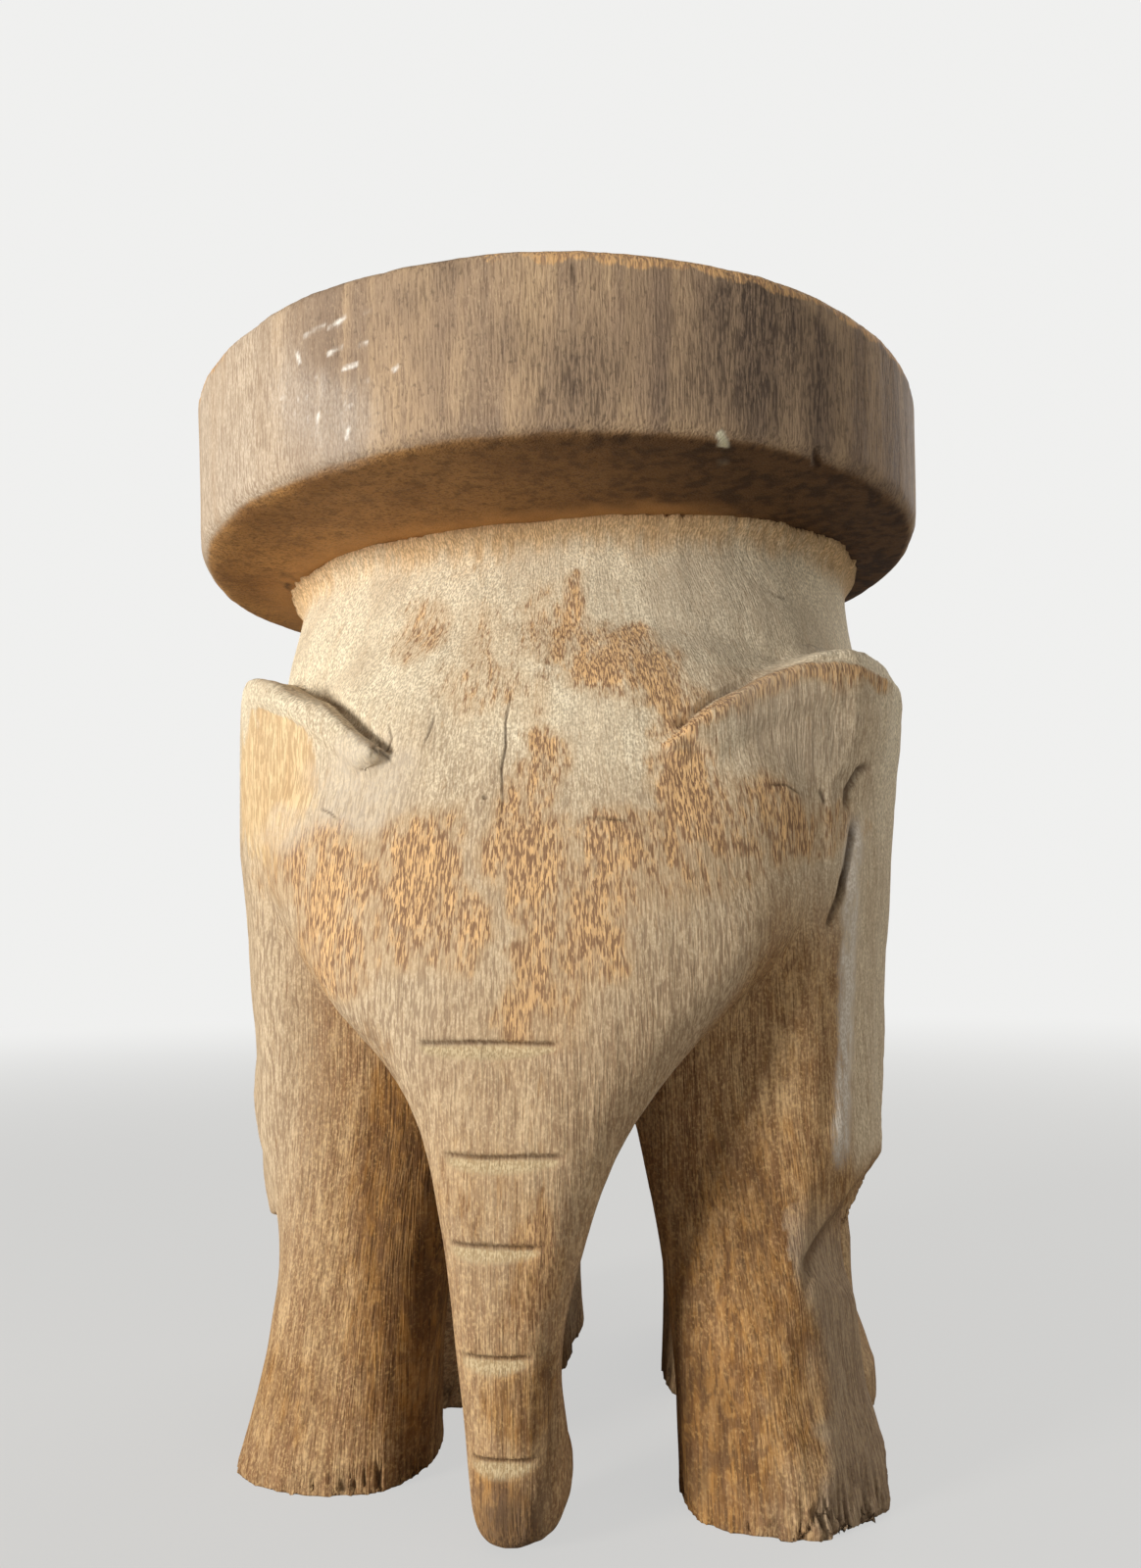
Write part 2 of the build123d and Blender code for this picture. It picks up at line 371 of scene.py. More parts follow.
RIGHT_SIDE_TRIM = [  # height, and how far the side moves outwards there
    (0, 0.5), (5, 1.5), (12, 3.0), (26, 1.3), (48, 2.2), (57, 1.2), (64, 0), (72, 1.2),
    (79, 2.8), (88, 1), (95, 0), (104, -1.2), (119, -2.6), (135, -3), (152, -2), (165, -1.7),
    (177, -1.2), (187, 0), (195, 1.5), (203, 2.2), (211, 3.4), (222, 0),
]
LEFT_SIDE_TRIM = [
    (0, 2.3), (10, 2.3), (18, 1.8), (26, 1.4), (40, 0.8), (50, 0), (95, 0), (105, -1.7),
    (119, -1.4), (130, -2), (140, -2), (152, -1.1), (165, 0),
]


def trim_sides(carving):
    """Moves the sides of the body in and out a little, as the maker's chisel left them."""
    x, y, z = (carving.points / MM).T
    right = np.interp(z, *zip(*RIGHT_SIDE_TRIM))
    left = np.interp(z, *zip(*LEFT_SIDE_TRIM))
    outer = ramp(60, 92, np.abs(x)) * fall(0, 30, y)
    carving.points[:, 0] += np.where(x > 0, right, -left) * outer * MM
    carving.update()


LEFT_EAR_DROP = [  # x, and how far the ear's top comes down there
    (-94, 6), (-89, 4.5), (-85, 2.2), (-79, 1.0), (-73, 1.6), (-66, 3), (-58, 3), (-50, 0),
]
RIGHT_EAR_DROP = [(70, 0), (80, -1.3), (87, -0.6), (92, 0.4), (97, 0.7), (102, 0.3), (106, 0)]


def round_ear(carving, drops, low, high):
    """Moves the top of an ear down a little, more and more from the height low to high."""
    x, y, z = (carving.points / MM).T
    drop = np.interp(x, *zip(*drops)) * ramp(low, high, z) * (z < 222)
    carving.points[:, 2] -= drop * MM * fall(-35, -22, y)


def carve_ear_lip(carving, line, side, roll, height, width, depth, shade_and_dirt):
    """Raises the rim of an ear, roll millimetres wide, by height, and cuts the undercut
    above it, width by depth.  The side is 1 where the forehead lies left of the line."""
    away, along = line_on_front(carving.points, line)
    above = away * side / MM
    fade = ramp(0, 0.25, along) * fall(0.93, 1, along)
    front = carving.front(-45)
    rim = ramp(-roll, -0.6 * roll, above) * fall(-2.5, 1.0, above)
    undercut = ramp(0, 0.3 * width, above) * fall(0.3 * width, width, above)
    carving.push(front * fade * (height * rim - depth * undercut) * MM)
    # the crease of the undercut is darkened as painted shade
    crease = ramp(-0.4, 0.6, above) * fall(0.6, 0.5 * width, above)
    crease *= ramp(0.35, 0.6, along)
    carving.darken(shade_and_dirt * crease * front * fade)


def emboss(carving, line, reach, height, ends=0.15, shade_and_dirt=0.0):
    """Raises the front along a line by height, or cuts into it where height is negative."""
    shape = carving.front(-40) * stroke(carving.points, line, reach, ends)
    carving.push(shape * height * MM)
    # where asked, the line is darkened as painted shade in the cut
    carving.darken(shade_and_dirt * shape)


def step_off_right_foot(carving):
    """The flank above the right front foot stands proud of the foot by a carved step."""
    away, along = line_on_front(carving.points, FOOT_STEP)
    x, y, _ = (carving.points / MM).T
    below = away / MM
    step = ramp(0, 1.6, below) * fall(6, 30, below)
    outwards = carving.normals[:, 0] - carving.normals[:, 1]
    weight = (x > 60) * (y < -25) * ramp(0, 0.3, outwards)
    weight = weight * fall(88, 96, x) * fall(0.8, 1, along)
    carving.push(-STEP_DEPTH * MM * step * weight)
    carving.update()
    carving.smooth(3, 0.6 * weight * (np.abs(below) < 6))


def cut_trunk(carving):
    """The wrinkles: straight cuts, steep on the upper side, bevelled on the lower."""
    for height, left, right in TRUNK_CUTS:
        x, _, z = (carving.points / MM).T
        below = height + 0.35 * noise(carving.points, 9, int(height)) - z
        across = np.clip((x - left) / (right - left), 0, 1)
        foot = 1.2 + 4.0 * np.sqrt(np.sin(math.pi * across ** 0.8))
        depth = ramp(-0.5, 0.6, below) * fall(0.2 * foot, foot, below)
        ends = ramp(left - 1, left + 2.5, x) * fall(right - 2.5, right + 1, x)
        carving.push(-CUT_DEPTH * MM * depth * ends * carving.front(-92))
        ends = ends * carving.front(-92)
        # the steep upper edge of each cut is darkened as painted shade
        edge = ramp(-0.7, 0.3, below) * fall(0.5, 1.4, below)
        carving.darken(0.6 * edge * ends)
        bevel = ramp(0.9, 1.6, below) * fall(0.6 * foot, foot, below)
        carving.chalk = np.maximum(carving.chalk, 0.8 * bevel * ends)


def fray_feet(carving):
    """Splits up from the floor and a ragged lower edge on every foot."""
    p = carving.points
    worst = blob(p, (80, -74, 4), (22, 24, 30))
    not_trunk = 1 - np.clip(1.5 * blob(p, (2, -88, 8), (30, 30, 30)), 0, 1)
    uneven = 5 * noise(p, (4, 4, 40), 31)
    low = fall(0.15, 1, (p[:, 2] / MM + uneven) / (9 + 9 * worst)) * not_trunk
    upright = fall(0.6, 0.9, np.abs(carving.normals[:, 2]))
    split = noise(p, (1.5, 1.5, 22), 32) + 0.5 * noise(p, (0.9, 0.9, 12), 33)
    somewhere = ramp(-0.6, 0.05, noise(p, 12, 34))
    splits = fall(0, 0.34, np.abs(split)) * low * upright * (0.3 + 0.7 * somewhere)
    carving.push(-(1.2 + 0.6 * worst) * MM * splits)
    # the splits are darkened as painted shade
    carving.darken(0.7 * splits)
    ragged = ramp(0.05, 0.8, noise(p, (1.8, 1.8, 60), 35))
    lift = fall(0, 4 * MM, p[:, 2]) * ragged * not_trunk * upright
    carving.points[:, 2] += 1.5 * MM * lift


def weather(carving):
    """Broad waves from the gouge and fine raised grain along Z."""
    p = carving.points
    waves = 0.45 * noise(p, (15, 15, 22), 11) + 0.25 * noise(p, (6, 6, 14), 12)
    grain = 0.10 * noise(p, (1.6, 1.6, 16), 13) + 0.06 * noise(p, (3, 3, 9), 14)
    free = ramp(1, 5, below_neck_line(p))
    carving.push((waves + grain) * free * MM)


TORN_NECK = [((-88, -20, 258), (20, 40, 30), 1), ((82, -25, 258), (34, 50, 30), 1)]


def flare_neck(carving):
    """The neck widens a little where it meets the seat, and its top goes into the seat."""
    p = carving.points
    under = below_neck_line(p)
    outside = fall(0.5, 0.9, np.abs(carving.normals[:, 2]))
    ragged = 1 + (0.06 + 0.3 * summed(p, TORN_NECK)) * noise(p, (2.4, 2.4, 5), 21)
    flare = fall(-3, NECK_FLARE_HEIGHT, under) ** 2.4 * ragged * outside
    carving.points[:, :2] += carving.normals[:, :2] * (NECK_FLARE * MM * flare)[:, None]
    carving.points[:, 2] += NECK_IN_SEAT * MM * fall(0, 2.5, under)


RUBBED_SPOTS = [  # middle, reach and strength of the wood rubbed bare
    ((14, -70, 230), (7, 30, 9), 1.0),
    ((15, -70, 222), (8, 30, 11), 1.1),
    ((22, -73, 213), (11, 30, 10), 1.1),
    ((34, -77, 207), (14, 30, 10), 1.05),
    ((43, -80, 197), (11, 30, 13), 0.75),
    ((47, -82, 184), (9, 30, 14), 0.6),
    ((-28, -70, 228), (8, 30, 14), 0.6),
    ((-12, -74, 222), (9, 30, 14), 0.45),
    ((2, -74, 228), (7, 30, 16), 0.55),
    ((-10, -82, 205), (12, 30, 14), 0.5),
    ((4, -84, 200), (10, 30, 14), 0.4),
    ((9, -93, 176), (7, 30, 16), 1.0),
    ((5, -95, 163), (9, 30, 15), 1.05),
    ((14, -94, 160), (8, 30, 12), 0.9),
    ((27, -94, 159), (12, 30, 12), 0.95),
    ((24, -98, 143), (12, 30, 17), 0.9),
    ((6, -100, 146), (8, 30, 18), 0.95),
    ((4, -102, 130), (6, 30, 20), 1.0),
    ((14, -102, 130), (9, 30, 14), 0.7),
    ((-20, -96, 157), (11, 30, 15), 1.05),
    ((-14, -99, 143), (9, 30, 14), 0.85),
    ((-25, -97, 142), (8, 30, 12), 0.6),
    ((-30, -93, 166), (8, 30, 9), 0.5),
    ((-44, -90, 150), (14, 40, 15), 1.0),
    ((-52, -84, 158), (10, 40, 14), 0.85),
    ((-40, -92, 137), (9, 40, 13), 0.9),
    ((-64, -74, 160), (14, 40, 10), 0.7),
    ((-52, -82, 140), (10, 40, 14), 0.7),
    ((44, -86, 176), (9, 40, 13), 1.05),
    ((52, -84, 170), (13, 40, 10), 0.95),
    ((66, -76, 168), (15, 40, 10), 0.9),
    ((80, -65, 170), (12, 40, 9), 0.65),
    ((38, -91, 162), (10, 40, 10), 0.8),
    ((40, -92, 150), (12, 40, 10), 0.55),
    ((55, -84, 155), (12, 40, 9), 0.4),
    ((9, -105, 64), (6, 20, 14), 1.1),
    ((6, -105, 54), (7, 20, 9), 1.0),
    ((4, -105, 36), (7, 20, 11), 0.8),
    ((-5, -104, 84), (10, 20, 12), 0.35),
]


# Amber and dark stains; the first amber spot, on the upper right leg, and the stain spots on the
# inner side of the left leg and on the right leg are partly painted shade beside the trunk and
# under the cheek.
AMBER_AND_SHADE_SPOTS = [((56, -60, 84), (46, 50, 60), 0.24), ((48, -76, 18), (26, 40, 44), 0.8)]
STAIN_AND_SHADE_SPOTS = [
    ((-33, -60, 75), (22, 50, 110), 0.9),
    ((62, -66, 62), (24, 50, 40), 0.75),
    ((0, -104, 76), (22, 20, 16), 0.3),
    ((-66, -66, 22), (26, 40, 22), 0.5),
    ((44, -72, 30), (13, 40, 14), 0.75),
    ((60, -76, 34), (24, 40, 34), 0.62),
    ((62, -70, 50), (46, 60, 72), 0.68),
    ((-2, -102, 9), (15, 26, 20), 1.15),
    ((6, -104, 32), (13, 20, 16), 0.6),
    ((4, -104, 58), (13, 20, 14), 0.35),
    ((70, -60, 120), (20, 50, 40), 0.3),
]
# Grey-brown grime, and painted shade on the right of the forehead, which faces away from the light.
GRIME_AND_SHADE_SPOTS = [
    ((58, -52, 228), (52, 60, 36), 0.55),
    ((70, -66, 194), (28, 40, 18), 0.62),
    ((0, -101, 6), (16, 26, 18), 0.35),
]
# Dark spots: dirt on the trunk's tip, and painted shade on the legs beside the trunk and under the
# right cheek.
DARK_SPOTS = [
    ((44, -77, 20), (13, 40, 24), 0.50),
    ((59, -71, 70), (14, 40, 24), 0.30),
    ((-30, -66, 62), (16, 50, 40), 0.34),
    ((2, -102, 7), (15, 26, 15), 0.48),
]
DUST_SPOTS = [((-44, -86, 178), (22, 40, 18), 0.36), ((-64, -72, 170), (22, 40, 9), 0.3)]
CHALK_LINE = [(89, 174), (86.5, 145), (84, 115), (81, 78)]
FOOT_FLANK_EDGE = [(70, 56), (72, 35), (74, 0)]


def rubbed_wood(carving, loose, front):
    """Where the head is rubbed bare: the spots, ragged along the grain, and the right lip."""
    p = carving.points
    x, _, z = (p / MM).T
    patchy = 0.95 + 0.36 * noise(p, (6, 9, 16), 64) + 0.26 * noise(p, (2.2, 9, 30), 68)
    rubbed = 0.98 * strongest(loose, RUBBED_SPOTS, spread=1.4) * np.clip(patchy, 0.5, 1.1)
    away, _ = line_on_front(p, RIGHT_LIP)
    below = away / MM
    width = 5.0 + 2.2 * noise(p, 7, 63)
    band = ramp(-0.5, 0.8, below) * fall(0.6, 1.6, below / width) * front
    over_lip = fall(-9, -1, below) * ramp(46, 52, x) * (z > 192)
    return np.clip(np.maximum(rubbed * (1 - over_lip), 0.95 * band), 0, 1.2)


def golden_wood(carving, rubbed, uneven):
    """Where the pale patina gives way to the golden wood of the legs and the trunk."""
    x, y, z = (carving.points / MM).T
    behind_head = ramp(-90, -78, y)
    lower_body = 0.85 * fall(40, 150, z + uneven)
    front_legs = fall(-30, -15, y) * behind_head
    front_legs = front_legs * fall(120, 160, z + 0.4 * uneven)
    trunk = 0.55 * fall(30, 150, z + 0.5 * uneven) * (1 - behind_head)
    trunk *= 1 - 0.7 * np.clip(rubbed, 0, 1)
    pale_left = fall(-78, -48, x + 0.15 * uneven) * ramp(25, 85, z)
    pale_right = 0.95 * ramp(82, 86, x) * ramp(74, 84, z)
    pale = np.where(y < 5, pale_left + pale_right, 0)
    legs = np.maximum(lower_body, front_legs) * (1 - pale)
    return np.clip(np.maximum(legs, trunk), 0, 1)


def paint_elephant(carving):
    """Numbers that the wood's material reads: rubbed wood, legs, grime and stains that hold painted
    shade, dust, and hollows and cuts darkened as dirt and painted shade.
    """
    p = carving.points
    x, y, z = (p / MM).T
    loose = warped(warped(p, 16, 5, 61), 5, 3, 71)
    front = carving.front(-35)
    rubbed = rubbed_wood(carving, loose, front)
    away, _ = line_on_front(p, LEFT_LIP)
    ear_face = blob(loose, (-72, -66, 186), (30, 40, 34)) * ramp(7.5, 9.5, -away / MM)
    ear_face *= front * fall(-58, -46, x + 0.4 * (z - 180))
    carving.keep("ear_face", ear_face)
    # A band below the glue line: torn wood at the joint, and painted shade under the seat's
    # overhang.
    shaken = 3.5 * noise(p, (1.1, 1.1, 9), 66) + 5 * noise(p, 16, 67)
    carving.keep("joint_and_shade", ramp(-14, -1, shaken - below_neck_line(p)))
    carving.keep("rubbed", rubbed)
    sloped = fall(150, 206, z + 14 * noise(p, 20, 65) + 0.1 * x)
    handled = np.maximum(front * (1 - 0.5 * ramp(60, 80, x)), 0.35 + 0.25 * (y > 0))
    right_ear = 0.75 * blob(loose, (76, -62, 190), (40, 50, 34)) * (z < 212)
    carving.keep("handled", np.maximum(sloped * handled, right_ear))
    uneven = 26 * noise(p, (34, 34, 60), 62)
    carving.keep("legs", golden_wood(carving, rubbed, uneven))

    away, _ = line_on_front(loose, FOOT_FLANK_EDGE)
    foot_flank = ramp(-2, 4, away / MM) * fall(50, 70, z + 0.4 * uneven)
    foot_flank = foot_flank * (x > 60) * (y < -20)
    upper_flank = ramp(84, 88, x - 0.06 * (z - 100)) * ramp(66, 70, z) * (z < 175)
    flank = np.clip(foot_flank + upper_flank, 0, 1)
    # stains, partly real and partly painted shade on the legs beside the trunk and under the cheek
    stain_and_shade = np.maximum(summed(loose, AMBER_AND_SHADE_SPOTS), strongest(loose, STAIN_AND_SHADE_SPOTS))
    carving.keep("stain_and_shade", np.clip(stain_and_shade * (z < 168) * (1 - flank), 0, 1))
    # grime on the right foot's flank, with the painted shade on the right of the forehead
    grime_and_shade = np.maximum(0.8 * foot_flank, strongest(loose, GRIME_AND_SHADE_SPOTS))
    carving.keep("grime_and_shade", np.clip(grime_and_shade, 0, 1))

    dust = 1.9 * stroke(warped(p, 5, 0.8, 69), CHALK_LINE, 3.4, 0.1) * (y < -35)
    carving.keep("dust", np.clip(np.maximum(dust, strongest(loose, DUST_SPOTS)), 0, 1))
    carving.keep("fresh", carving.chalk)
    # the dark spots go into the painted shade and dirt
    dark = summed(loose, DARK_SPOTS) * (0.75 + 0.55 * noise(p, (2.5, 2.5, 9), 70))
    carving.darken(np.clip(dark, 0, 1))
    # hollows, darkened in the material as dirt and painted shade
    carving.keep("hollow_dirt_and_shade", carving.hollows(CARVING_GRAIN))
    carving.keep("shade_and_dirt", carving.shade_and_dirt)


def make_elephant():
    piece = remeshed("elephant", "elephant_carving", CARVING_GRAIN)
    refine(piece, wants_fine_faces)
    refine(piece, wants_finest_faces)
    carving = Carving(piece)
    blend_cheeks(carving)
    trim_sides(carving)
    round_ear(carving, LEFT_EAR_DROP, 196, 211)
    round_ear(carving, RIGHT_EAR_DROP, 196, 208)
    flare_neck(carving)
    carving.update()
    carve_ear_lip(
        carving, LEFT_LIP, side=1, roll=9.5, height=1.9, width=5.0, depth=2.2, shade_and_dirt=0.18
    )
    carving.update()
    carve_ear_lip(
        carving, RIGHT_LIP, side=-1, roll=15, height=1.0, width=3.0, depth=1.3, shade_and_dirt=0.4
    )
    carving.update()
    emboss(carving, CHEEK_GROOVE, reach=4.5, height=-1.6)
    emboss(carving, FLANK_RIDGE, reach=4.5, height=1.4, ends=0.1)
    emboss(carving, FOOT_RIDGE, reach=6, height=1.2)
    carving.update()
    step_off_right_foot(carving)
    # the crease is darkened as painted shade
    emboss(carving, STEP_CREASE, reach=2.2, height=-1.1, ends=0.25, shade_and_dirt=0.3)
    carving.update()
    weather(carving)
    carving.update()
    cut_trunk(carving)
    # the cuts, cracks and creases are darkened along their lines as painted shade
    for line, reach, depth in CHISEL_CUTS:
        emboss(carving, line, reach, -depth, ends=0.25, shade_and_dirt=0.75)
    for line, reach, depth in SMALL_CRACKS:
        emboss(carving, line, reach, -depth, ends=0.3, shade_and_dirt=0.65)
    emboss(carving, FOREHEAD_CRACK, reach=0.6, height=-0.3, ends=0.35, shade_and_dirt=0.9)
    emboss(carving, TRUNK_CURL_CREASE, reach=2.4, height=-1.3, ends=0.25, shade_and_dirt=0.35)
    carving.update()
    fray_feet(carving)
    carving.points[:, 2] = np.maximum(carving.points[:, 2], 0)
    carving.update()
    paint_elephant(carving)
    carving.finish()
    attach(piece, "root")
    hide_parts("elephant")
    return piece


# ---- the seat ----

SEAT_GRAIN = 1.4 * MM
WHITE_SCRATCHES = [  # on the left of the rim, ends of each
    [(-51, 294.2), (-43, 295.6)],
    [(-43.5, 294.0), (-37, 295.8)],
    [(-43.5, 287.2), (-38, 288.4)],
    [(-39, 282.1), (-33.5, 282.5)],
    [(-34, 287.1), (-31, 287.7)],
    [(-24.6, 278.8), (-22.4, 279.6)],
    [(-53, 291), (-51.5, 287)],
    [(-46.5, 270), (-45.6, 272.6)],
    [(-37.5, 263.5), (-36.5, 267)],
]
PALE_STRIPES = [  # dust along the fibres: ends, width and strength
    ([(-56.8, 271), (-56.8, 293)], 3.4, 0.34),
    ([(-45.5, 258), (-45, 287)], 6.0, 0.32),
    ([(-38, 260), (-38, 277)], 4.5, 0.26),
    ([(-50, 262), (-50.5, 284)], 4.0, 0.22),
]
RIM_CHECKS = [  # short dark cracks that run with the grain
    ([(12.5, 262), (13, 272)], 1.0, 0.3),
    ([(79.5, 256), (80.5, 266)], 1.4, 1.2),
    ([(21, 303), (21.5, 296)], 1.0, 0.3),
]
PAINT_FLECK = [(55, 263), (56.6, 261), (55.4, 259.6), (57.4, 258)]
RIM_DARK_SPOTS = [  # middle, reach and strength
    ((22, -112, 276), (19, 30, 19), 0.85),
    ((90, -74, 261), (26, 44, 15), 0.8),
    ((-14, -115, 297), (18, 30, 9), 0.5),
]
RIM_WORN_SPOTS = [((-104, -60, 262), (46, 70, 26), 1), ((0, -116, 262), (90, 40, 10), 0.4)]
UNDERSIDE_PITS = [
    ((-84, -29, 258.5), (2.5, 6, 5), 0.8),
    ((-88, -18, 258.5), (2.5, 6, 5), 0.8),
    ((74, -50, 258.5), (2.5, 6, 5), 0.8),
]


def wants_fine_rim(points):
    """Where the marks on the seat's rim need its faces split."""
    x, y, z = (points / MM).T
    scratched = (x > -64) & (x < -18) & (y < -80) & (z > 256) & (z < 300)
    cracked = (np.abs(x - 80) < 6) & (y < -50) & (z < 270)
    fleck = (np.abs(x - 56) < 5) & (y < -90) & (z < 268)
    edge = (y < -40) & (z > 298) & (z < 306.5)
    return scratched | cracked | fleck | edge


def small_scratches():
    """Many short fine scratches over the left of the rim, most of them level or upright."""
    rng = np.random.default_rng(85)
    lines = []
    for _ in range(14):
        x, z = rng.uniform(-60, -32), rng.uniform(264, 298)
        length = rng.uniform(1.2, 3.5)
        turn = rng.normal(0.2, 0.25) if rng.random() < 0.5 else rng.normal(1.5, 0.15)
        lines.append([(x, z), (x + length * math.cos(turn), z + length * math.sin(turn))])
    return lines


def sector(turn, middle, full, none):
    """1 up to full degrees from the middle of a sector of the seat, 0 beyond none."""
    return fall(full, none, np.abs(turn - middle))


def paint_seat(carving):
    """Numbers that the wood's material reads on the rim, the underside and the top."""
    p = carving.points
    loose = warped(p, 22, 9, 81)
    x, y, z = (warped(loose, 6, 2, 91) / MM).T
    turn = np.degrees(np.arctan2(x, -y))
    under = ramp(0.66, 0.94, -carving.normals[:, 2])
    top = ramp(0.8, 0.97, carving.normals[:, 2])
    side = 1 - np.maximum(under, top)

    # the left of the rim, which faces the lamp, painted paler as a highlight
    pale = ramp(12, 48, -turn) * fall(120, 160, -turn)
    pale = pale * (1 - 0.45 * ramp(60, 72, -turn))
    carving.keep("pale", np.clip(pale * side, 0, 1))
    # dark: soot on the rim, partly painted shade on its right; on the underside, painted shade
    # growing towards the right and the outer edge
    upright = ramp(256, 278, z) * (1 - 0.8 * ramp(298, 304, z))
    dark = np.maximum(sector(turn, 36, 6, 26) * upright, strongest(loose, RIM_DARK_SPOTS))
    dark = np.maximum(dark, 0.45 * sector(turn, 62, 5, 30))
    dark = np.maximum(dark, 0.5 * sector(turn, -170, 10, 40))
    outwards = ramp(92, 112, np.hypot(x, y))
    shaded = np.maximum(ramp(-70, 62, x), outwards * ramp(-60, 40, x))
    carving.keep("dark", np.clip(dark * side + under * shaded, 0, 1))
    height = p[:, 2] / MM + 1.6 * noise(p, (5, 5, 30), 84)
    upper_edge = ramp(300.8, 303.6, height) * (1 - 0.6 * top)
    worn = upper_edge * ramp(-6, 10, turn) * fall(62, 80, turn)
    worn = np.maximum(worn, 0.7 * upper_edge * sector(turn, -75, 20, 50))
    worn = np.maximum(worn, 0.7 * upper_edge * sector(turn, 160, 20, 40))
    carving.keep("worn", np.clip(worn, 0, 1))

    front = carving.front(-50)
    broken = noise(p, 2.2, 83)
    frayed = 0.75 + 0.6 * noise(p, (1.5, 1.5, 9), 89)
    dust = 0.2 * blob(loose, (-48, -105, 274), (22, 40, 26))
    for line, width, strength in PALE_STRIPES:
        dust = np.maximum(dust, strength * stroke(p, line, width, 0.3) * frayed)
    for line in WHITE_SCRATCHES:
        scratch = 1.35 * stroke(p, line, 0.95, 0.15) * np.clip(0.9 + broken, 0, 1)
        dust = np.maximum(dust, scratch)
    for line in small_scratches():
        scratch = 0.6 * stroke(p, line, 1.0, 0.2) * np.clip(0.6 + broken, 0, 1)
        dust = np.maximum(dust, scratch)
    fleck = stroke(p, PAINT_FLECK, 1.6, 0.1)
    carving.keep("dust", np.clip(np.maximum(dust, fleck) * front, 0, 1))
    carving.keep("fleck", fleck * front)
    carving.keep("under", under)
    carving.keep("top", top)
    # hollows, darkened in the material as dirt and painted shade
    carving.keep("hollow_dirt_and_shade", carving.hollows(SEAT_GRAIN))
    carving.keep("shade_and_dirt", carving.shade_and_dirt)


def distance_to_neck(carving, elephant):
    """How far each point of the seat lies from the ring where the neck meets it, in mm."""
    places = np.array([v.co[:] for v in elephant.data.vertices])
    ring = places[np.abs(below_neck_line(places)) < 1.2]
    tree = KDTree(len(ring))
    for i, place in enumerate(ring):
        tree.insert(place, i)
    tree.balance()
    near = carving.points[:, 2] < 262 * MM
    away = np.full(carving.count, 99.0)
    away[near] = [tree.find(place)[2] / MM for place in carving.points[near]]
    return away


def make_seat(elephant):
    piece = remeshed("seat", "seat_slab", SEAT_GRAIN)
    refine(piece, wants_fine_rim)
    carving = Carving(piece)
    carving.smooth(2, 0.5)
    carving.smooth(12, 0.6 * np.clip(summed(carving.points, RIM_WORN_SPOTS), 0, 1))
    p = carving.points
    waves = 0.5 * noise(p, (24, 24, 30), 41) + 0.2 * noise(p, (7, 7, 16), 42)
    grain = 0.07 * noise(p, (1.8, 1.8, 18), 43)
    carving.push((waves + grain) * MM)
    carving.update()
    # the checks and the pits under the seat are darkened as painted shade
    for line, reach, depth in RIM_CHECKS:
        emboss(carving, line, reach, -depth, ends=0.3, shade_and_dirt=0.7)
    loose = warped(carving.points, 3, 2, 87)
    carving.darken(strongest(loose, UNDERSIDE_PITS))
    carving.update()
    paint_seat(carving)
    # painted light: lighter orange on the underside near the neck, on the left, as if bounced from
    # the lit neck
    by_neck = distance_to_neck(carving, elephant) + 2.5 * noise(carving.points, 5, 86)
    right = ramp(35, 75, carving.points[:, 0] / MM)
    carving.keep("neck_bounce_light", fall(1, 13, by_neck) * (1 - right))
    carving.finish()
    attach(piece, "root")
    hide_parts("seat")
    return piece


# ---- materials ----


